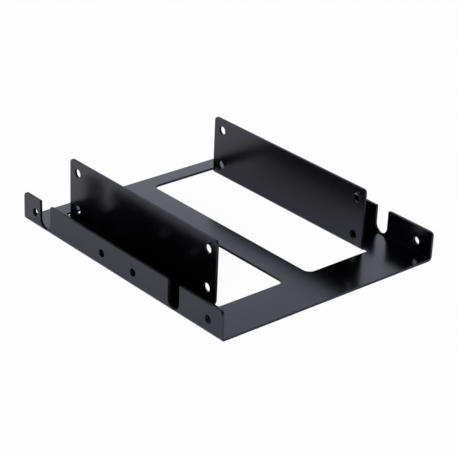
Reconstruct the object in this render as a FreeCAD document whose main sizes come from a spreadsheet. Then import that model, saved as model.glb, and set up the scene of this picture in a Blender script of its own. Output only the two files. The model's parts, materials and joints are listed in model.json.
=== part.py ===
import FreeCAD, Part
import os
from enum import IntEnum

import Sketcher

# Drive bay adapter bracket: one blank of sheet steel, folded four times.
# It drops into a large drive bay and holds two small drives, one above the other, between its inner walls.
# Millimetres. X runs across the bay, Y along it, Z up; the origin is the middle of the underside.
# The half at X > 0 is modelled and the whole shape is then mirrored, because both halves are alike.

os.makedirs("parts", exist_ok=True)

NODE = "bracket"

# Every independent size, written once. The name is the word used for it in all sketches below.
SIZES = [
    ("sheet_thickness", 1.0, "thickness of the steel sheet"),
    ("bend_inside_radius", 0.6, "inside radius of all four bends"),
    ("overall_width", 101.6, "outside width over the two side flanges, the width of a large drive"),
    ("side_height", 11.6, "height of the side flanges above the underside"),
    ("side_corner_radius", 1.6, "rounding of the upper end corners of the side flanges"),
    ("bay_hole_diameter", 3.1, "bay screw holes in the side flanges, between crest and root of their thread"),
    ("bay_hole_height", 5.7, "height of the bay screw holes above the underside"),
    ("bay_hole_pitch", 101.6, "distance between the two end holes of a side flange"),
    ("bay_hole_step", 41.61, "distance from an end hole to the inner hole beside it"),
    ("bay_hole_end_distance", 7.3, "distance from an end hole to the end of its side flange and of the base"),
    ("bay_collar_height", 0.4, "how far the drawn collar of a bay hole stands in from its flange"),
    ("bay_collar_wall", 0.5, "thickness of the drawn collar round a bay hole"),
    ("notch_width", 6.4, "width of the screwdriver notches in the side flanges"),
    ("notch_floor", 1.1, "height of the lowest point of a notch above the underside"),
    ("notch_lip_radius", 0.4, "rounding of the two upper corners of a notch"),
    ("drive_gap", 69.9, "clear width between the two drive walls, for a 69.85 wide drive"),
    ("drive_hole_diameter", 3.5, "drive screw holes in the drive walls"),
    ("drive_hole_pitch", 76.6, "distance along the wall between the screw holes of one drive"),
    ("drive_hole_middle", 6.15, "Y of the point halfway between the screw holes of one drive"),
    ("drive_hole_height", 5.05, "height of the lower drive's screw holes above the underside"),
    ("drive_hole_step", 15.1, "height from the lower drive's holes to the upper drive's holes"),
    ("drive_hole_margin", 4.65, "distance from the drive holes to the ends and the top of their wall"),
    ("wall_corner_radius", 1.5, "rounding of the upper corners of the drive walls"),
    ("middle_strip_width", 11.6, "width of the strip of base between the two windows"),
    ("near_relief_gap", 3.0, "gap between the near end of a drive wall and the edge of its window"),
    ("far_relief_gap", 2.25, "gap between the far end of a drive wall and the edge of its window"),
    ("window_corner_radius", 3.0, "rounding of the window corners at the middle strip"),
    ("relief_corner_radius", 0.6, "rounding of the window corners at the ends of a wall bend"),
]

document = FreeCAD.newDocument("DriveBayAdapterBracket")

sheet = document.addObject("Spreadsheet::Sheet", "Sizes")
sheet.Label = "Sizes"
for row, (name, number, meaning) in enumerate(SIZES, start=1):
    sheet.set("A%d" % row, name)
    sheet.set("B%d" % row, str(number))
    sheet.set("C%d" % row, meaning)
    sheet.setAlias("B%d" % row, name)
document.recompute()


def bound(formula):
    """Return a formula with every size name in it pointed at the spreadsheet."""
    words = []
    for word in formula.replace("(", "( ").replace(")", " )").split():
        words.append("Sizes." + word if word.isidentifier() else word)
    return " ".join(words)


def number(formula):
    """Return what a formula is worth now, to draw its geometry in the right place."""
    return float(sheet.evalExpression(bound(formula)))


# Sizes that follow from the ones above, as formulas.
BEND_OUTSIDE_RADIUS = "(sheet_thickness + bend_inside_radius)"
OVERALL_LENGTH = "(bay_hole_pitch + 2 * bay_hole_end_distance)"
SIDE_OUTSIDE = "(overall_width / 2)"
NEAR_DRIVE_HOLE = "(drive_hole_middle - drive_hole_pitch / 2)"
FAR_DRIVE_HOLE = "(drive_hole_middle + drive_hole_pitch / 2)"
UPPER_DRIVE_HOLE = "(drive_hole_height + drive_hole_step)"
WALL_DRIVE_FACE = "(drive_gap / 2)"
WALL_BEND_EDGE = "(drive_gap / 2 + sheet_thickness + bend_inside_radius)"
WALL_NEAR_END = "(drive_hole_middle - drive_hole_pitch / 2 - drive_hole_margin)"
WALL_FAR_END = "(drive_hole_middle + drive_hole_pitch / 2 + drive_hole_margin)"
WALL_TOP = "(drive_hole_height + drive_hole_step + drive_hole_margin)"
BAY_HOLE_PLACES = [
    "bay_hole_pitch / 2",
    "bay_hole_pitch / 2 - bay_hole_step",
    "bay_hole_step - bay_hole_pitch / 2",
    "0 - bay_hole_pitch / 2",
]

# A length or a volume below this is nothing.
NEGLIGIBLE = 1e-6


class Axis(IntEnum):
    """Numbers that a sketch gives its own two axes; the start of either one is the origin."""

    ACROSS = -1
    UP = -2


class Spot(IntEnum):
    """Numbers that a sketch gives the points of a line, an arc or a circle."""

    START = 1
    END = 2
    CENTRE = 3


def add_sketch(body, label, plane, offset=None):
    """Return a new sketch of a body on one of its origin planes, moved along the plane's normal."""
    sketch = body.newObject("Sketcher::SketchObject", label)
    sketch.Label = label
    origin_plane = [item for item in body.Origin.OriginFeatures if item.Role == plane][0]
    sketch.AttachmentSupport = [(origin_plane, "")]
    sketch.MapMode = "FlatFace"
    if offset is not None:
        sketch.setExpression("AttachmentOffset.Base.z", bound(offset))
    return sketch


def bind(sketch, constraint, formula):
    """Add a size constraint to a sketch and tie it to a formula."""
    index = sketch.addConstraint(constraint)
    sketch.setExpression("Constraints[%d]" % index, bound(formula))


def place_point(sketch, geometry, point, across, up):
    """Fix both coordinates of a sketch point; a coordinate of "0" puts it on the axis."""
    origin = (Axis.ACROSS, Spot.START)
    if across == "0":
        sketch.addConstraint(Sketcher.Constraint("PointOnObject", geometry, point, Axis.UP))
    else:
        bind(sketch, Sketcher.Constraint("DistanceX", *origin, geometry, point, number(across)), across)
    if up == "0":
        sketch.addConstraint(Sketcher.Constraint("PointOnObject", geometry, point, Axis.ACROSS))
    else:
        bind(sketch, Sketcher.Constraint("DistanceY", *origin, geometry, point, number(up)), up)


def add_circle(sketch, across, up, diameter):
    """Draw a circle whose centre and diameter are formulas."""
    centre = FreeCAD.Vector(number(across), number(up), 0)
    index = sketch.addGeometry(Part.Circle(centre, FreeCAD.Vector(0, 0, 1), number(diameter) / 2))
    bind(sketch, Sketcher.Constraint("Diameter", index, number(diameter)), diameter)
    place_point(sketch, index, Spot.CENTRE, across, up)


def add_outline(sketch, sides):
    """Draw a closed outline of upright and level sides with sharp or rounded corners.

    Each side is ("upright", X) or ("level", Y), optionally followed by the radius of the
    corner at its end. Upright and level sides take turns, in the order they are walked.
    """
    count = len(sides)

    def corner(index):
        pair = (sides[index % count], sides[(index + 1) % count])
        across = [side[1] for side in pair if side[0] == "upright"][0]
        up = [side[1] for side in pair if side[0] == "level"][0]
        return FreeCAD.Vector(number(across), number(up), 0)

    def radius(index):
        side = sides[index % count]
        return number(side[2]) if len(side) > 2 else 0.0

    lines = []
    for index in range(count):
        begin = corner(index - 1)
        end = corner(index)
        heading = (end - begin).normalize()
        begin = begin + heading * radius(index - 1)
        end = end - heading * radius(index)
        lines.append(sketch.addGeometry(Part.LineSegment(begin, end)))

    origin = (Axis.ACROSS, Spot.START)
    for index, side in enumerate(sides):
        line = lines[index]
        if side[0] == "upright":
            sketch.addConstraint(Sketcher.Constraint("Vertical", line))
            if side[1] == "0":
                sketch.addConstraint(Sketcher.Constraint("PointOnObject", line, Spot.START, Axis.UP))
            else:
                distance = Sketcher.Constraint("DistanceX", *origin, line, Spot.START, number(side[1]))
                bind(sketch, distance, side[1])
        else:
            sketch.addConstraint(Sketcher.Constraint("Horizontal", line))
            if side[1] == "0":
                sketch.addConstraint(Sketcher.Constraint("PointOnObject", line, Spot.START, Axis.ACROSS))
            else:
                distance = Sketcher.Constraint("DistanceY", *origin, line, Spot.START, number(side[1]))
                bind(sketch, distance, side[1])

    for index, side in enumerate(sides):
        line = lines[index]
        following = lines[(index + 1) % count]
        if len(side) == 2:
            sketch.addConstraint(Sketcher.Constraint("Coincident", line, Spot.END, following, Spot.START))
            continue
        size = radius(index)
        meeting = corner(index)
        incoming = (meeting - corner(index - 1)).normalize()
        outgoing = (corner(index + 1) - meeting).normalize()
        centre = meeting - incoming * size + outgoing * size
        middle = centre + (meeting - centre).normalize() * size
        arc = sketch.addGeometry(Part.Arc(meeting - incoming * size, middle, meeting + outgoing * size))
        turns_left = incoming.x * outgoing.y - incoming.y * outgoing.x > 0
        first, last = (Spot.START, Spot.END) if turns_left else (Spot.END, Spot.START)
        sketch.addConstraint(Sketcher.Constraint("Tangent", line, Spot.END, arc, first))
        sketch.addConstraint(Sketcher.Constraint("Tangent", arc, last, following, Spot.START))
        bind(sketch, Sketcher.Constraint("Radius", arc, size), side[2])


def add_notch(sketch, middle, floor, width, top):
    """Draw a U-shaped notch: two upright sides, a half-round bottom and an open top."""
    half = number(width) / 2
    centre = FreeCAD.Vector(number(middle), number(floor) + half, 0)
    right = centre + FreeCAD.Vector(half, 0, 0)
    left = centre - FreeCAD.Vector(half, 0, 0)
    lowest = centre - FreeCAD.Vector(0, half, 0)
    upper_right = FreeCAD.Vector(right.x, number(top), 0)
    upper_left = FreeCAD.Vector(left.x, number(top), 0)
    arc = sketch.addGeometry(Part.Arc(left, lowest, right))
    rising = sketch.addGeometry(Part.LineSegment(right, upper_right))
    across = sketch.addGeometry(Part.LineSegment(upper_right, upper_left))
    falling = sketch.addGeometry(Part.LineSegment(upper_left, left))
    sketch.addConstraint(Sketcher.Constraint("Tangent", arc, Spot.END, rising, Spot.START))
    sketch.addConstraint(Sketcher.Constraint("Coincident", rising, Spot.END, across, Spot.START))
    sketch.addConstraint(Sketcher.Constraint("Coincident", across, Spot.END, falling, Spot.START))
    sketch.addConstraint(Sketcher.Constraint("Tangent", falling, Spot.END, arc, Spot.START))
    sketch.addConstraint(Sketcher.Constraint("Vertical", rising))
    sketch.addConstraint(Sketcher.Constraint("Vertical", falling))
    sketch.addConstraint(Sketcher.Constraint("Horizontal", across))
    bind(sketch, Sketcher.Constraint("Radius", arc, half), width + " / 2")
    place_point(sketch, arc, Spot.CENTRE, middle, floor + " + " + width + " / 2")
    bind(
        sketch,
        Sketcher.Constraint("DistanceY", Axis.ACROSS, Spot.START, across, Spot.START, number(top)),
        top,
    )


def add_pad(body, label, sketch, length):
    """Extrude a profile equally to both sides of its sketch."""
    pad = body.newObject("PartDesign::Pad", label)
    pad.Label = label
    pad.Profile = (sketch, [""])
    pad.SideType = "Symmetric"
    pad.setExpression("Length", bound(length))
    sketch.Visibility = False
    return pad


def add_pocket(body, label, sketch, depth):
    """Cut a sketch into the body, against the sketch's normal, and insist that it removes metal."""
    document.recompute()
    before = body.Shape.Volume
    pocket = body.newObject("PartDesign::Pocket", label)
    pocket.Label = label
    pocket.Profile = (sketch, [""])
    pocket.setExpression("Length", bound(depth))
    sketch.Visibility = False
    document.recompute()
    if not pocket.Shape.Volume < before - NEGLIGIBLE:
        raise RuntimeError(label + " cuts nothing")
    return pocket


def edges_across(feature, positions):
    """Name the edges of a feature that run along X at any of the given (Y, Z) positions."""
    names = []
    for index, edge in enumerate(feature.Shape.Edges, start=1):
        ends = [vertex.Point for vertex in edge.Vertexes]
        if len(ends) != 2 or (ends[0] - ends[1]).cross(FreeCAD.Vector(1, 0, 0)).Length > NEGLIGIBLE:
            continue
        for along, up in positions:
            off = max(abs(ends[0].y - number(along)), abs(ends[0].z - number(up)))
            if off < NEGLIGIBLE:
                names.append("Edge%d" % index)
    return names


def add_fillet(body, label, positions, radius):
    """Round the sheet edges that run along X at the given (Y, Z) positions."""
    document.recompute()
    feature = body.Tip
    names = edges_across(feature, positions)
    if len(names) != len(positions):
        raise RuntimeError("%s found %d edges for %d corners" % (label, len(names), len(positions)))
    fillet = body.newObject("PartDesign::Fillet", label)
    fillet.Label = label
    fillet.Base = (feature, names)
    fillet.setExpression("Radius", bound(radius))
    return fillet


bracket = document.addObject("PartDesign::Body", "Bracket")
bracket.Label = NODE

# The base and the side flange are one J-shaped section of the sheet, drawn around its bend.
section = add_sketch(bracket, "BaseAndSideSection", "XZ_Plane")
add_outline(section, [
    ("level", "0", BEND_OUTSIDE_RADIUS),
    ("upright", SIDE_OUTSIDE),
    ("level", "side_height"),
    ("upright", SIDE_OUTSIDE + " - sheet_thickness", "bend_inside_radius"),
    ("level", "sheet_thickness"),
    ("upright", "0"),
])
add_pad(bracket, "BaseAndSide", section, OVERALL_LENGTH)

# The window is what the drive wall was folded out of, so it ends at the wall's bend line.
# It is a little longer than the wall, which leaves the bend a relief at each end.
window = add_sketch(bracket, "WindowOutline", "XY_Plane", "sheet_thickness")
add_outline(window, [
    ("level", WALL_NEAR_END + " - near_relief_gap", "relief_corner_radius"),
    ("upright", WALL_BEND_EDGE, "relief_corner_radius"),
    ("level", WALL_FAR_END + " + far_relief_gap", "window_corner_radius"),
    ("upright", "middle_strip_width / 2", "window_corner_radius"),
])
add_pocket(bracket, "Window", window, "sheet_thickness")

# The drive wall turns up out of the outer edge of the window, with its foot lapping into the base.
fold = add_sketch(bracket, "DriveWallSection", "XZ_Plane", "0 - drive_hole_middle")
add_outline(fold, [
    ("upright", WALL_BEND_EDGE + " + sheet_thickness"),
    ("level", "sheet_thickness", "bend_inside_radius"),
    ("upright", WALL_DRIVE_FACE + " + sheet_thickness"),
    ("level", WALL_TOP),
    ("upright", WALL_DRIVE_FACE, BEND_OUTSIDE_RADIUS),
    ("level", "0"),
])
add_pad(bracket, "DriveWall", fold, "drive_hole_pitch + 2 * drive_hole_margin")

# Two drives one above the other, each held by two screws through the wall.
drive_holes = add_sketch(bracket, "DriveHoleCentres", "YZ_Plane", WALL_DRIVE_FACE + " + 2 * sheet_thickness")
for along in (NEAR_DRIVE_HOLE, FAR_DRIVE_HOLE):
    for up in ("drive_hole_height", UPPER_DRIVE_HOLE):
        add_circle(drive_holes, along, up, "drive_hole_diameter")
add_pocket(bracket, "DriveHoles", drive_holes, "3 * sheet_thickness")

# The bay screw pattern reads the same from either end, so the bracket can be fitted both ways round.
# Each hole is drawn a little way in, and its collar gives the screw more thread than the sheet alone.
collars = add_sketch(bracket, "BayCollarCentres", "YZ_Plane", SIDE_OUTSIDE + " - sheet_thickness")
for along in BAY_HOLE_PLACES:
    add_circle(collars, along, "bay_hole_height", "bay_hole_diameter + 2 * bay_collar_wall")
add_pad(bracket, "BayCollars", collars, "2 * bay_collar_height")

bay_holes = add_sketch(bracket, "BayHoleCentres", "YZ_Plane", SIDE_OUTSIDE)
for along in BAY_HOLE_PLACES:
    add_circle(bay_holes, along, "bay_hole_height", "bay_hole_diameter")
add_pocket(bracket, "BayHoles", bay_holes, "sheet_thickness + 2 * bay_collar_height")

# The notches let a screwdriver past the side flange to the lower drive's screws, so they stand at the same Y.
notches = add_sketch(bracket, "NotchOutlines", "YZ_Plane", SIDE_OUTSIDE)
for along in (NEAR_DRIVE_HOLE, FAR_DRIVE_HOLE):
    add_notch(notches, along, "notch_floor", "notch_width", "side_height + sheet_thickness")
add_pocket(bracket, "Notches", notches, BEND_OUTSIDE_RADIUS)

# The sheared corners are rounded so that the folded sheet has no sharp point.
add_fillet(
    bracket,
    "SideCorners",
    [(OVERALL_LENGTH + " / 2", "side_height"), ("0 - " + OVERALL_LENGTH + " / 2", "side_height")],
    "side_corner_radius",
)
add_fillet(
    bracket,
    "WallCorners",
    [(WALL_NEAR_END, WALL_TOP), (WALL_FAR_END, WALL_TOP)],
    "wall_corner_radius",
)
add_fillet(
    bracket,
    "NotchLips",
    [
        (along + side + "notch_width / 2", "side_height")
        for along in (NEAR_DRIVE_HOLE, FAR_DRIVE_HOLE)
        for side in (" - ", " + ")
    ],
    "notch_lip_radius",
)

# The other half of the sheet is the same shape seen in the middle plane.
document.recompute()
other_half = bracket.newObject("PartDesign::Mirrored", "OtherHalf")
other_half.Label = "OtherHalf"
other_half.TransformMode = "Whole shape"
middle_plane = [item for item in bracket.Origin.OriginFeatures if item.Role == "YZ_Plane"][0]
other_half.MirrorPlane = (middle_plane, [""])
other_half.Refine = True
bracket.Tip = other_half
document.recompute()

for item in document.Objects:
    if "Invalid" in item.State or "Error" in item.State:
        raise RuntimeError(item.Label + " did not build: " + ", ".join(item.State))
    if item.TypeId == "Sketcher::SketchObject" and not item.FullyConstrained:
        raise RuntimeError(item.Label + " is not fully constrained")

shape = bracket.Shape
if shape.isNull() or not shape.isValid() or len(shape.Solids) != 1:
    raise RuntimeError("the bracket is not one valid solid")

shape.exportStep(os.path.join("parts", NODE + ".step"))
box = shape.BoundBox
print("%s: %.2f x %.2f x %.2f mm, %.1f mm3, %d faces" % (
    NODE, box.XLength, box.YLength, box.ZLength, shape.Volume, len(shape.Faces)))
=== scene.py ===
"""A folded drive bay adapter bracket in black powder coat, on a white studio floor.

The sheet is made the way the real one is: a flat blank is cut out, its edges are eased, and
the blank is then folded four times. Sizes are in millimetres until the finished sheet is
scaled to metres.
"""
import json
import logging
import math
from collections.abc import Iterable, Mapping, Sequence
from dataclasses import dataclass, field
from enum import Enum
from typing import Any, NamedTuple

import bmesh
import bpy
from mathutils import Matrix, Vector


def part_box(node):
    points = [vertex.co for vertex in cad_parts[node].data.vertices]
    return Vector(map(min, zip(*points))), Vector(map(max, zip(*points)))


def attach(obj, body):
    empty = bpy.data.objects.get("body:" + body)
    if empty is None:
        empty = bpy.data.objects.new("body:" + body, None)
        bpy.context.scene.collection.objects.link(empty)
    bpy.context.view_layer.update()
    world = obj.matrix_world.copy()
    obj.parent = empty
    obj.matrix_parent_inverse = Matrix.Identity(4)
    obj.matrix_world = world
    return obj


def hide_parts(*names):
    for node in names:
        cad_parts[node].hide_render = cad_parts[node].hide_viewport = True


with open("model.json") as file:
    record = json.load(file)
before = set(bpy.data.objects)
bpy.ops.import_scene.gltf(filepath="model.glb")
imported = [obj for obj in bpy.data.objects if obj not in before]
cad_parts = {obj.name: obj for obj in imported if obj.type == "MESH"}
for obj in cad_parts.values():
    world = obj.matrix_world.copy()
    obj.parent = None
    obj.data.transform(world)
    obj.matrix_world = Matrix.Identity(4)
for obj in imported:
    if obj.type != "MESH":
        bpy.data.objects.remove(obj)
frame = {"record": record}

METRES = 0.001
NODE = "bracket"
SHEARED = "sheared"

# In the flat blank, a face that leans further than this is part of a cut or an eased edge.
LEVEL = 0.95

# Edges of the flat blank that turn further than this are sheared ones, which get eased.
SQUARE = math.radians(60)

# Points of the blank closer than this are one point, and a line this near a point runs through it.
WELD_DISTANCE = 1e-4
CUT_DISTANCE = 1e-5

# How far a point may lie from where it should be and still count as lying there.
COLLAR_SLACK = 1e-3
WALL_SLACK = 0.01

# Nearly all of a noise's values lie between these.
NOISE_RANGE = (0.3, 0.7)

log = logging.getLogger("bracket")


class Side(Enum):
    """The two halves of the sheet, by the sign of X."""

    LEFT = -1.0
    RIGHT = 1.0


class Turn(Enum):
    """Which way the sheet runs on from the start of a fold."""

    OUTWARD = 1.0
    INWARD = -1.0


class Corner(NamedTuple):
    """A corner of an outline in the flat blank, and how far it is rounded."""

    x: float
    y: float
    radius: float = 0.0


class Hole(NamedTuple):
    """A round hole in the flat blank, plain or drawn up into a collar.

    Drawing a collar pulls the sheet's surface in and leaves the mouth of the hole rounded.
    """

    x: float
    y: float
    radius: float
    collar_wall: float = 0.0
    collar_height: float = 0.0
    mouth_radius: float = 0.0

    @property
    def collar_radius(self) -> float:
        """Outside radius of the collar, or of the hole itself where it has none."""
        return self.radius + self.collar_wall

    def collar_profile(self, top: float, steps: int) -> list[tuple[float, float]]:
        """Section of the collar, from the mouth up through the bore and out over the top.

        Args:
            top: Height of the collar's top above the sheet's lower surface.
            steps: Number of steps round the mouth.

        Returns:
            Radii and heights of the section's corners.
        """
        turns = [math.pi / 2 * step / steps for step in range(steps + 1)]
        reach = self.radius + self.mouth_radius
        mouth = [
            (reach - self.mouth_radius * math.sin(turn), self.mouth_radius * (1.0 - math.cos(turn)))
            for turn in turns
        ]
        return [*mouth, (self.radius, top), (self.collar_radius, top)]


def linear_colour(hex_code: str) -> tuple[float, float, float, float]:
    """Turn an sRGB hex colour into the linear values that shaders read.

    Args:
        hex_code: Six hex digits with a leading hash.

    Returns:
        Red, green, blue and an alpha of 1.
    """
    channels = [int(hex_code[place:place + 2], 16) / 255 for place in (1, 3, 5)]
    red, green, blue = (
        value / 12.92 if value <= 0.04045 else ((value + 0.055) / 1.055) ** 2.4
        for value in channels
    )
    return (red, green, blue, 1.0)


def add_node(
    tree: bpy.types.NodeTree,
    kind: str,
    inputs: Mapping[str, Any] | None = None,
    **settings: Any,
) -> bpy.types.Node:
    """Add a node to a tree, with its settings and links.

    Args:
        tree: The node tree that gets the node.
        kind: The node's type name.
        inputs: Input names with the value, or the output socket, that each one takes.
        settings: Properties of the node itself.

    Returns:
        The new node.
    """
    node = tree.nodes.new(kind)
    for name, value in settings.items():
        setattr(node, name, value)
    for name, value in (inputs or {}).items():
        if isinstance(value, bpy.types.NodeSocket):
            tree.links.new(value, node.inputs[name])
        else:
            node.inputs[name].default_value = value
    return node


@dataclass(frozen=True)
class PowderCoat:
    """Black polyester powder coat, sprayed and baked on steel.

    The powder flows out in the oven into a satin film with a faint orange peel, so it mirrors
    bright surroundings softly and goes nearly black where it faces dark ones.
    """

    name: str = "black_powder_coat_on_steel"
    deep_colour: str = "#010101"
    pale_colour: str = "#020203"
    sheen_tint: str = "#DADAF1"
    index_of_refraction: float = 1.8
    smoothest: float = 0.20
    roughest: float = 0.22
    sheared_roughness: float = 0.5
    peel_width: float = 1.1
    peel_height: float = 0.0016
    grit_width: float = 0.35
    cloud_width: float = 18.0

    def material(self) -> bpy.types.Material:
        """Build the material.

        Returns:
            A material whose colour, roughness and relief are all procedural.
        """
        material = bpy.data.materials.new(self.name)
        material.use_nodes = True
        tree = material.node_tree
        tree.nodes.clear()
        place = add_node(tree, "ShaderNodeTexCoord").outputs["Object"]
        clouds = self._noise(tree, place, self.cloud_width, detail=3.0)
        peel = self._noise(tree, place, self.peel_width, detail=1.0)
        grit = self._noise(tree, place, self.grit_width, detail=2.0)
        colour = add_node(tree, "ShaderNodeMix", {
            "Factor": grit,
            "A": linear_colour(self.deep_colour),
            "B": linear_colour(self.pale_colour),
        }, data_type="RGBA")
        roughness = add_node(tree, "ShaderNodeMapRange", {
            "Value": clouds,
            "From Min": NOISE_RANGE[0],
            "From Max": NOISE_RANGE[1],
            "To Min": self.smoothest,
            "To Max": self.roughest,
        })
        sheared = add_node(tree, "ShaderNodeAttribute", attribute_name=SHEARED)
        gloss = add_node(tree, "ShaderNodeMix", {
            "Factor": sheared.outputs["Fac"],
            "A": roughness.outputs["Result"],
            "B": self.sheared_roughness,
        })
        relief = add_node(tree, "ShaderNodeBump", {
            "Strength": 1.0,
            "Distance": self.peel_height * METRES,
            "Height": peel,
        })
        surface = add_node(tree, "ShaderNodeBsdfPrincipled", {
            "Base Color": colour.outputs["Result"],
            "Roughness": gloss.outputs["Result"],
            "IOR": self.index_of_refraction,
            "Specular Tint": linear_colour(self.sheen_tint),
            "Normal": relief.outputs["Normal"],
        })
        add_node(tree, "ShaderNodeOutputMaterial", {"Surface": surface.outputs["BSDF"]})
        return material

    @staticmethod
    def _noise(
        tree: bpy.types.NodeTree,
        place: bpy.types.NodeSocket,
        width: float,
        detail: float,
    ) -> bpy.types.NodeSocket:
        """Add a noise whose blotches have a real width.

        Args:
            tree: The material's node tree.
            place: The coordinates that the noise follows.
            width: Width of a blotch in millimetres.
            detail: Number of finer layers.

        Returns:
            The noise's value, from 0 to 1.
        """
        noise = add_node(tree, "ShaderNodeTexNoise", {
            "Vector": place,
            "Scale": 1.0 / (width * METRES),
            "Detail": detail,
        })
        return noise.outputs["Fac"]


@dataclass(frozen=True)
class Stock:
    """The sheet metal that the blank is cut from."""

    thickness: float = 1.0
    inside_radius: float = 0.6
    edge_radius: float = 0.1

    @property
    def outside_radius(self) -> float:
        """Outside radius of every fold."""
        return self.inside_radius + self.thickness

    @property
    def fold_length(self) -> float:
        """Length of flat sheet that one square fold uses up, along the middle of the sheet."""
        return math.pi / 2 * (self.inside_radius + self.thickness / 2)


@dataclass(frozen=True)
class Fold:
    """A square fold upwards, along Y, that starts at a line in the base."""

    stock: Stock
    start: float
    turn: Turn

    def flat_x(self, height: float) -> float:
        """Where a point at some height of the folded wall lies in the flat blank."""
        run = self.stock.fold_length + height - self.stock.outside_radius
        return self.start + self.turn.value * run

    def lines(self, steps: int) -> list[float]:
        """Lines across the blank at which the sheet turns a little, from the fold's start to its end."""
        step = self.turn.value * self.stock.fold_length / steps
        return [self.start + step * index for index in range(steps + 1)]

    def folded(self, point: Vector, side: Side) -> Vector:
        """Carry a point of the flat blank round the fold.

        Args:
            point: The point in the blank, with Z measured through the sheet.
            side: The half of the blank that it belongs to.

        Returns:
            Its place in the folded sheet.
        """
        run = (side.value * point.x - self.start) * self.turn.value
        if run <= 0.0:
            return point
        angle = min(run / self.stock.fold_length, 1.0) * math.pi / 2
        reach = self.stock.outside_radius - point.z
        beyond = max(run - self.stock.fold_length, 0.0)
        across = self.start + self.turn.value * reach * math.sin(angle)
        up = self.stock.outside_radius - reach * math.cos(angle) + beyond
        return Vector((side.value * across, point.y, up))


@dataclass(frozen=True)
class HoleRow:
    """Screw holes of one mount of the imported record, as places along a wall and heights."""

    places: tuple[tuple[float, float], ...]
    radius: float

    @property
    def ends(self) -> tuple[float, float]:
        """Y of the nearest and of the farthest holes."""
        along = [place[0] for place in self.places]
        return (min(along), max(along))

    @classmethod
    def of_mount(cls, name: str) -> "HoleRow":
        """Read the holes of a bolt pattern in a wall.

        Args:
            name: The mount's name in the record.

        Returns:
            The (Y, Z) places of its holes and their radius, in millimetres.
        """
        mount = next(item for item in frame["record"]["mounts"] if item["name"] == name)
        middle_y, middle_z = (value / METRES for value in mount["pos_m"][1:])
        half_y = mount["dims"]["spacing_x_mm"] / 2
        half_z = mount["dims"].get("spacing_y_mm", 0.0) / 2
        heights = sorted({middle_z - half_z, middle_z + half_z})
        places = [(middle_y + end * half_y, height) for end in (-1, 1) for height in heights]
        return cls(tuple(places), mount["dims"]["hole_r_mm"])


@dataclass
class SideFlange:
    """The low outer flange of one side, with its bay screw holes and two open notches."""

    stock: Stock
    side: Side
    half_width: float
    half_length: float
    height: float = 11.6
    corner_radius: float = 1.6
    notch_width: float = 6.4
    notch_floor: float = 1.1
    lip_radius: float = 0.4
    collar_wall: float = 0.5
    collar_height: float = 0.4
    mouth_radius: float = 0.1

    @property
    def fold(self) -> Fold:
        """The fold that turns the flange up from the base."""
        return Fold(self.stock, self.half_width - self.stock.outside_radius, Turn.OUTWARD)

    def edge(self) -> list[Corner]:
        """Corners of the flange's free edge in the blank, from its near end to its far end."""
        rim = self.fold.flat_x(self.height)
        floor = self._flat_notch_floor()
        half = self.notch_width / 2
        corners = [Corner(rim, -self.half_length, self.corner_radius)]
        for middle in HoleRow.of_mount(f"{self.side.name.lower()}_drive_screws").ends:
            corners += [
                Corner(rim, middle - half, self.lip_radius),
                Corner(floor, middle - half, half),
                Corner(floor, middle + half, half),
                Corner(rim, middle + half, self.lip_radius),
            ]
        corners.append(Corner(rim, self.half_length, self.corner_radius))
        return [corner._replace(x=corner.x * self.side.value) for corner in corners]

    def holes(self) -> list[Hole]:
        """The bay screw holes in the blank, each with its drawn collar."""
        word = self.side.name.lower()
        rows = [HoleRow.of_mount(f"{word}_bay_end_screws"), HoleRow.of_mount(f"{word}_bay_inner_screws")]
        return [
            Hole(
                self.side.value * self.fold.flat_x(height),
                along,
                row.radius,
                self.collar_wall,
                self.collar_height,
                self.mouth_radius,
            )
            for row in rows
            for along, height in row.places
        ]

    def _flat_notch_floor(self) -> float:
        """Where the notch's floor lies in the blank; it cuts a little way into the fold."""
        radius = self.stock.outside_radius
        angle = math.acos(1.0 - self.notch_floor / radius)
        return self.fold.start + angle / (math.pi / 2) * self.stock.fold_length


@dataclass
class DriveWall:
    """The tall inner wall of one side and the window in the base that it is folded out of."""

    stock: Stock
    side: Side
    height: float
    hole_margin: float = 4.65
    drive_gap: float = 69.9
    corner_radius: float = 1.5
    strip_width: float = 11.6
    near_gap: float = 3.0
    far_gap: float = 2.25
    window_radius: float = 3.0
    relief_radius: float = 0.6

    def __post_init__(self) -> None:
        """Take the screw holes from the record; the wall ends a fixed margin beyond them."""
        self.row = HoleRow.of_mount(f"{self.side.name.lower()}_drive_screws")

    @property
    def fold(self) -> Fold:
        """The fold that turns the wall up out of its window."""
        return Fold(self.stock, self.drive_gap / 2 + self.stock.outside_radius, Turn.INWARD)

    @property
    def near(self) -> float:
        """Y of the wall's near end."""
        return self.row.ends[0] - self.hole_margin

    @property
    def far(self) -> float:
        """Y of the wall's far end."""
        return self.row.ends[1] + self.hole_margin

    def window(self) -> list[Corner]:
        """Corners of the cut that frees the wall from the base, all round the window."""
        root = self.fold.start
        tip = self.fold.flat_x(self.height)
        strip = self.strip_width / 2
        corners = [
            Corner(root, self.near - self.near_gap, self.relief_radius),
            Corner(strip, self.near - self.near_gap, self.window_radius),
            Corner(strip, self.far + self.far_gap, self.window_radius),
            Corner(root, self.far + self.far_gap, self.relief_radius),
            Corner(root, self.far, self.relief_radius),
            Corner(tip, self.far, self.corner_radius),
            Corner(tip, self.near, self.corner_radius),
            Corner(root, self.near, self.relief_radius),
        ]
        return [corner._replace(x=corner.x * self.side.value) for corner in corners]

    def holes(self) -> list[Hole]:
        """The drive screw holes in the blank."""
        return [
            Hole(self.side.value * self.fold.flat_x(height), along, self.row.radius)
            for along, height in self.row.places
        ]

    def holds(self, point: Vector) -> bool:
        """Whether a point of the blank belongs to this wall or its fold."""
        across = self.side.value * point.x
        tip = self.fold.flat_x(self.height)
        return (
            tip - WALL_SLACK <= across <= self.fold.start + WALL_SLACK
            and self.near - WALL_SLACK <= point.y <= self.far + WALL_SLACK
        )


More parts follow.
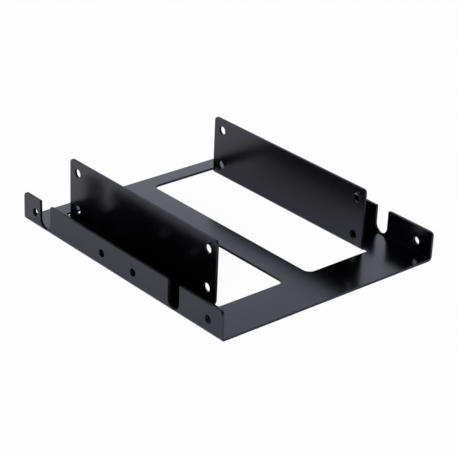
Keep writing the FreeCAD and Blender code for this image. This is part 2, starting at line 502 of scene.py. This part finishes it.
@dataclass
class Blank:
    """The flat sheet, cut out and eased, before it is folded."""

    stock: Stock
    corner_steps: int = 10
    hole_steps: int = 48
    edge_steps: int = 3
    mouth_steps: int = 5
    form: bmesh.types.BMesh = field(default_factory=bmesh.new)
    collared: list[Hole] = field(default_factory=list)

    def cut_outline(self, corners: Sequence[Corner]) -> None:
        """Draw a closed outline and round its corners.

        Args:
            corners: The corners in order, each with its radius.
        """
        vertices = [self.form.verts.new((corner.x, corner.y, 0.0)) for corner in corners]
        self.form.faces.new(vertices)
        for radius in sorted({corner.radius for corner in corners} - {0.0}):
            turned = [vertex for vertex, corner in zip(vertices, corners) if corner.radius == radius]
            bmesh.ops.bevel(
                self.form,
                geom=turned,
                offset=radius,
                offset_type="OFFSET",
                segments=self.corner_steps,
                profile=0.5,
                affect="VERTICES",
                material=-1,
            )
        bmesh.ops.delete(self.form, geom=self.form.faces[:], context="FACES_ONLY")

    def cut_hole(self, hole: Hole) -> None:
        """Draw a round hole, or the outside of the collar that it will get."""
        bmesh.ops.create_circle(
            self.form,
            segments=self.hole_steps,
            radius=hole.collar_radius,
            matrix=Matrix.Translation((hole.x, hole.y, 0.0)),
        )
        if hole.collar_height > 0.0:
            self.collared.append(hole)

    def fill(self) -> None:
        """Fill the sheet between its outline, its windows and its holes."""
        bmesh.ops.remove_doubles(self.form, verts=self.form.verts[:], dist=WELD_DISTANCE)
        bmesh.ops.triangle_fill(self.form, edges=self.form.edges[:], use_beauty=True, normal=(0, 0, 1))

    def score(self, lines: Iterable[float], within: Any = None) -> None:
        """Cut the sheet's faces along lines parallel to Y, so that it can turn there.

        Args:
            lines: X of each line.
            within: A test that a face's middle has to pass to be cut, or None for all.
        """
        for line in lines:
            faces = [
                face for face in self.form.faces
                if within is None or within(face.calc_center_median())
            ]
            edges = {edge for face in faces for edge in face.edges}
            vertices = {vertex for face in faces for vertex in face.verts}
            bmesh.ops.bisect_plane(
                self.form,
                geom=[*vertices, *edges, *faces],
                dist=CUT_DISTANCE,
                plane_co=(line, 0.0, 0.0),
                plane_no=(1.0, 0.0, 0.0),
            )

    def thicken(self) -> None:
        """Give the sheet its thickness, draw its collars and ease every sheared edge."""
        bmesh.ops.recalc_face_normals(self.form, faces=self.form.faces[:])
        made = bmesh.ops.extrude_face_region(self.form, geom=self.form.faces[:])
        raised = [item for item in made["geom"] if isinstance(item, bmesh.types.BMVert)]
        bmesh.ops.translate(self.form, verts=raised, vec=(0.0, 0.0, self.stock.thickness))
        for hole in self.collared:
            self._draw_collar(hole)
        bmesh.ops.recalc_face_normals(self.form, faces=self.form.faces[:])
        square = [edge for edge in self.form.edges if edge.calc_face_angle(0.0) > SQUARE]
        bmesh.ops.bevel(
            self.form,
            geom=square,
            offset=self.stock.edge_radius,
            offset_type="OFFSET",
            segments=self.edge_steps,
            profile=0.5,
            affect="EDGES",
            clamp_overlap=True,
            loop_slide=True,
            material=-1,
        )
        sheared = self.form.faces.layers.float.new(SHEARED)
        for face in self.form.faces:
            face.normal_update()
            face[sheared] = float(abs(face.normal.z) < LEVEL)

    def _draw_collar(self, hole: Hole) -> None:
        """Draw the sheet up into a collar round a hole, in place of the hole's straight side.

        Args:
            hole: The hole, which has so far been cut as wide as the outside of its collar.
        """
        middle = Vector((hole.x, hole.y))
        side = [
            face for face in self.form.faces
            if all(
                abs((vertex.co.xy - middle).length - hole.collar_radius) < COLLAR_SLACK
                for vertex in face.verts
            )
        ]
        bmesh.ops.delete(self.form, geom=side, context="FACES")
        rims = [edge for edge in self.form.edges if edge.is_boundary]
        loop = [edge for edge in rims if edge.verts[0].co.z < COLLAR_SLACK]
        upper_rim = [edge for edge in rims if edge.verts[0].co.z > COLLAR_SLACK]
        top = self.stock.thickness + hole.collar_height
        for radius, height in hole.collar_profile(top, self.mouth_steps):
            made = bmesh.ops.extrude_edge_only(self.form, edges=loop)
            loop = [
                item for item in made["geom"]
                if isinstance(item, bmesh.types.BMEdge) and item.is_boundary
            ]
            for vertex in {vertex for edge in loop for vertex in edge.verts}:
                spoke = (vertex.co.xy - middle).normalized() * radius
                vertex.co = Vector((*(middle + spoke), height))
        bmesh.ops.bridge_loops(self.form, edges=loop + upper_rim)


@dataclass
class Bracket:
    """The whole bracket: one blank, folded into two side flanges and two drive walls."""

    finish: PowderCoat = field(default_factory=PowderCoat)
    stock: Stock = field(default_factory=Stock)
    fold_steps: int = 10

    def __post_init__(self) -> None:
        """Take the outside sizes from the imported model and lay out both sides."""
        lowest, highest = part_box(NODE)
        size = (highest - lowest) / METRES
        self.half_length = size.y / 2
        self.flanges = [
            SideFlange(self.stock, side, half_width=size.x / 2, half_length=self.half_length)
            for side in Side
        ]
        self.walls = [DriveWall(self.stock, side, height=size.z) for side in Side]

    def build(self) -> None:
        """Cut, fold and paint the bracket, and let it ride on the part's body."""
        blank = self._cut_blank()
        for vertex in blank.form.verts:
            vertex.co = self._folded(vertex.co)
        bmesh.ops.scale(blank.form, vec=(METRES,) * 3, verts=blank.form.verts[:])
        bmesh.ops.recalc_face_normals(blank.form, faces=blank.form.faces[:])
        for face in blank.form.faces:
            face.smooth = True
        mesh = bpy.data.meshes.new("bracket_sheet")
        blank.form.to_mesh(mesh)
        blank.form.free()
        piece = bpy.data.objects.new("bracket_sheet", mesh)
        bpy.context.scene.collection.objects.link(piece)
        mesh.materials.append(self.finish.material())
        weighted = piece.modifiers.new("flat_faces_stay_flat", "WEIGHTED_NORMAL")
        weighted.keep_sharp = True
        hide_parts(NODE)
        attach(piece, "root")
        log.info("%s: %d faces", piece.name, len(mesh.polygons))

    def _cut_blank(self) -> Blank:
        """Cut the flat blank with its windows and holes, scored where it will fold."""
        blank = Blank(self.stock)
        left, right = (flange.edge() for flange in self.flanges)
        blank.cut_outline(right + left[::-1])
        for wall in self.walls:
            blank.cut_outline(wall.window())
        for part in (*self.flanges, *self.walls):
            for hole in part.holes():
                blank.cut_hole(hole)
        blank.fill()
        for flange in self.flanges:
            blank.score(flange.side.value * line for line in flange.fold.lines(self.fold_steps))
        for wall in self.walls:
            lines = [wall.side.value * line for line in wall.fold.lines(self.fold_steps)]
            blank.score(lines[:1])
            blank.score(lines[1:], wall.holds)
        blank.thicken()
        return blank

    def _folded(self, point: Vector) -> Vector:
        """Carry one point of the blank round the fold that it belongs to, if any."""
        for wall in self.walls:
            if wall.holds(point):
                return wall.fold.folded(point, wall.side)
        for flange in self.flanges:
            if flange.side.value * point.x > flange.fold.start:
                return flange.fold.folded(point, flange.side)
        return point.copy()


@dataclass(frozen=True)
class PhotoCamera:
    """The photograph's camera, as angles round an aim point near the bracket's middle."""

    azimuth: float = -41.351
    elevation: float = 26.297
    roll: float = 2.465
    distance: float = 650.63
    aim: tuple[float, float, float] = (0.033, -1.846, 5.150)
    lens: float = 137.14

    def place(self) -> None:
        """Make the camera and give it to the scene."""
        turn, rise = math.radians(self.azimuth), math.radians(self.elevation)
        back = Vector((
            math.sin(turn) * math.cos(rise),
            -math.cos(turn) * math.cos(rise),
            math.sin(rise),
        ))
        data = bpy.data.cameras.new("photo_camera")
        data.lens = self.lens
        camera = bpy.data.objects.new("photo_camera", data)
        heading = back.to_track_quat("Z", "Y").to_matrix().to_4x4()
        place = Matrix.Translation((Vector(self.aim) + back * self.distance) * METRES)
        camera.matrix_world = place @ heading @ Matrix.Rotation(math.radians(self.roll), 4, "Z")
        bpy.context.scene.collection.objects.link(camera)
        bpy.context.scene.camera = camera


@dataclass(frozen=True)
class SoftBox:
    """A large soft lamp that stands low at one side and faces the bracket.

    It lights matt surfaces and isn't mirrored, so that it leaves no glare on the base from any side.
    """

    name: str
    azimuth: float
    elevation: float
    power: float
    colour: str
    distance: float = 1500.0
    width: float = 1200.0
    height: float = 450.0

    def build(self) -> None:
        """Hang the lamp and turn it to the middle of the scene."""
        turn, rise = math.radians(self.azimuth), math.radians(self.elevation)
        heading = Vector((
            math.cos(turn) * math.cos(rise),
            math.sin(turn) * math.cos(rise),
            math.sin(rise),
        ))
        data = bpy.data.lights.new(self.name, "AREA")
        data.shape = "RECTANGLE"
        data.size = self.width * METRES
        data.size_y = self.height * METRES
        data.energy = self.power
        data.color = linear_colour(self.colour)[:3]
        lamp = bpy.data.objects.new(self.name, data)
        lamp.visible_glossy = False
        facing = heading.to_track_quat("Z", "Y").to_matrix().to_4x4()
        lamp.matrix_world = Matrix.Translation(heading * self.distance * METRES) @ facing
        bpy.context.scene.collection.objects.link(lamp)


@dataclass(frozen=True)
class Studio:
    """A white paper floor before a lit white backdrop, with a soft lamp at either side.

    The strengths are what gloss mirrors in each part of the room. Each span is where one part
    fades into the next: by height, from 0 at the horizon to 1 straight up, or by how squarely
    the backdrop is faced, from 1 towards its middle to -1 away from it. The gap keeps the paper
    just clear of the bracket's underside.
    """

    floor_width: float = 6000.0
    floor_gap: float = 0.05
    floor_colour: str = "#DEDEDE"
    shadow_share: float = 0.03
    fill_strength: float = 0.25
    fill_colour: str = "#FFFAF2"
    backdrop_colour: str = "#EDF3FF"
    backdrop_azimuth: float = 49.0
    backdrop_strength: float = 1.27
    upper_strength: float = 0.34
    side_strength: float = 0.01
    ceiling_strength: float = 0.3
    front_strength: float = 0.4
    backdrop_fade: tuple[float, float] = (0.38, 0.57)
    backdrop_top: tuple[float, float] = (0.57, 0.70)
    backdrop_side: tuple[float, float] = (0.62, 0.86)
    front_side: tuple[float, float] = (-0.85, -0.55)
    ceiling_edge: tuple[float, float] = (0.85, 0.97)
    lamps: tuple[SoftBox, ...] = (
        SoftBox("left_soft_box", azimuth=195.0, elevation=22.0, power=38.0, colour="#EFF1FF"),
        SoftBox("right_soft_box", azimuth=0.0, elevation=20.0, power=16.0, colour="#FFFAF2"),
    )

    def build(self) -> None:
        """Lay the floor, light the world and set how colours are shown."""
        scene = bpy.context.scene
        scene.view_settings.view_transform = "Standard"
        self._lay_floor()
        scene.world = self._room()
        for lamp in self.lamps:
            lamp.build()

    def _lay_floor(self) -> None:
        """Lay a flat floor under the bracket."""
        form = bmesh.new()
        bmesh.ops.create_grid(form, x_segments=1, y_segments=1, size=self.floor_width * METRES / 2)
        bmesh.ops.translate(form, vec=(0.0, 0.0, -self.floor_gap * METRES), verts=form.verts[:])
        mesh = bpy.data.meshes.new("studio_floor")
        form.to_mesh(mesh)
        form.free()
        floor = bpy.data.objects.new("studio_floor", mesh)
        bpy.context.scene.collection.objects.link(floor)
        mesh.materials.append(self._paper())

    def _paper(self) -> bpy.types.Material:
        """Matt white paper that the camera sees as white, with only a trace of the shadow."""
        material = bpy.data.materials.new("matt_white_paper")
        material.use_nodes = True
        tree = material.node_tree
        tree.nodes.clear()
        matt = add_node(tree, "ShaderNodeBsdfDiffuse", {"Color": linear_colour(self.floor_colour)})
        white = add_node(tree, "ShaderNodeEmission", {"Color": (1.0, 1.0, 1.0, 1.0), "Strength": 1.0})
        rays = add_node(tree, "ShaderNodeLightPath")
        share = add_node(tree, "ShaderNodeMath", {
            0: rays.outputs["Is Camera Ray"],
            1: 1.0 - self.shadow_share,
        }, operation="MULTIPLY")
        surface = add_node(tree, "ShaderNodeMixShader", {
            "Fac": share.outputs[0],
            1: matt.outputs[0],
            2: white.outputs[0],
        })
        add_node(tree, "ShaderNodeOutputMaterial", {"Surface": surface.outputs[0]})
        return material

    def _room(self) -> bpy.types.World:
        """A white backdrop in a room that is dark but for a dim ceiling and a dim front.

        The camera sees plain white. Gloss mirrors the room, and matt surfaces get an even fill.
        """
        world = bpy.data.worlds.new("studio_room")
        world.use_nodes = True
        tree = world.node_tree
        tree.nodes.clear()
        turn = math.radians(self.backdrop_azimuth)
        place = add_node(tree, "ShaderNodeTexCoord").outputs["Generated"]
        facing = add_node(tree, "ShaderNodeVectorMath", {
            0: place,
            1: (math.cos(turn), math.sin(turn), 0.0),
        }, operation="DOT_PRODUCT").outputs["Value"]
        rise = add_node(tree, "ShaderNodeSeparateXYZ", {"Vector": place}).outputs["Z"]

        lower = self._fade(tree, rise, self.backdrop_fade, (self.backdrop_strength, self.upper_strength))
        backdrop = self._fade(tree, rise, self.backdrop_top, (lower, self.side_strength))
        front = self._fade(tree, facing, self.front_side, (self.front_strength, self.side_strength))
        around = self._fade(tree, facing, self.backdrop_side, (front, backdrop))
        mirrored = self._fade(tree, rise, self.ceiling_edge, (around, self.ceiling_strength))
        fill = self._glow(tree, self.fill_colour, self.fill_strength)
        room = self._glow(tree, self.backdrop_colour, mirrored)
        white = self._glow(tree, "#FFFFFF", 1.0)
        rays = add_node(tree, "ShaderNodeLightPath")
        in_steel = add_node(tree, "ShaderNodeMath", {
            0: rays.outputs["Is Glossy Ray"],
            1: rays.outputs["Is Transmission Ray"],
        }, operation="MAXIMUM").outputs[0]
        lit = add_node(tree, "ShaderNodeMixShader", {"Fac": in_steel, 1: fill, 2: room}).outputs[0]
        surface = add_node(tree, "ShaderNodeMixShader", {
            "Fac": rays.outputs["Is Camera Ray"],
            1: lit,
            2: white,
        })
        add_node(tree, "ShaderNodeOutputWorld", {"Surface": surface.outputs[0]})
        return world

    @staticmethod
    def _glow(tree: bpy.types.NodeTree, colour: str, strength: Any) -> bpy.types.NodeSocket:
        """Add an even light for the world.

        Args:
            tree: The node tree that gets the light.
            colour: Its colour as #RRGGBB.
            strength: Its strength, a number or a socket.

        Returns:
            The light's output.
        """
        light = add_node(tree, "ShaderNodeBackground", {
            "Color": linear_colour(colour),
            "Strength": strength,
        })
        return light.outputs[0]

    @staticmethod
    def _fade(
        tree: bpy.types.NodeTree,
        value: bpy.types.NodeSocket,
        between: tuple[float, float],
        levels: tuple[Any, Any],
    ) -> bpy.types.NodeSocket:
        """Add a soft change from one level to another while a value rises.

        Args:
            tree: The node tree that gets the change.
            value: The value that drives it.
            between: Where the change starts and ends.
            levels: The level before and after it, each a number or a socket.

        Returns:
            The level at each value.
        """
        change = add_node(tree, "ShaderNodeMapRange", {
            "Value": value,
            "From Min": between[0],
            "From Max": between[1],
            "To Min": levels[0],
            "To Max": levels[1],
        }, interpolation_type="SMOOTHSTEP")
        return change.outputs["Result"]


def main() -> None:
    """Build the bracket, the studio and the camera."""
    logging.basicConfig(level=logging.INFO, format="%(name)s %(message)s")
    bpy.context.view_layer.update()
    Bracket().build()
    Studio().build()
    PhotoCamera().place()


if __name__ == "__main__":
    main()
